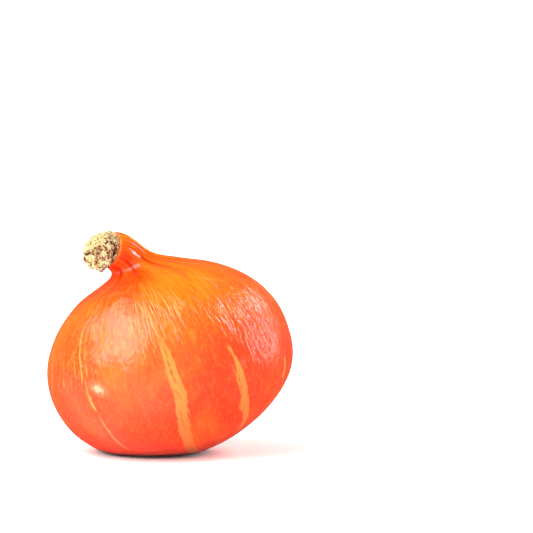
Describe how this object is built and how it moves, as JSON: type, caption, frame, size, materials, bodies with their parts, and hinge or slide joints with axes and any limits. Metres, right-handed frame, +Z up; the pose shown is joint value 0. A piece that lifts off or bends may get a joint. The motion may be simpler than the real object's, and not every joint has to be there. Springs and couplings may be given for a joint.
{
  "type": "kabocha squash",
  "caption": "Onion-shaped red kuri squash lying on its flat spot, with a fluted neck that bends over to a short, corky stalk.",
  "frame": {"origin": "on the flat spot that the squash lies on, straight below the middle of the round body", "axes": "+Z up from the table, which is z = 0; -Y to the viewer, the front; +X to the viewer's right. The neck leans to -X and bends to -X and -Y."},
  "size_m": [0.1609, 0.1593, 0.1449],
  "materials": {
    "skin": "satin orange-red rind with a soft shine",
    "cork": "dry, matte, pitted cork"
  },
  "bodies": {
    "root": {"fruit": "skin", "stalk": "cork"}
  },
  "joints": []
}
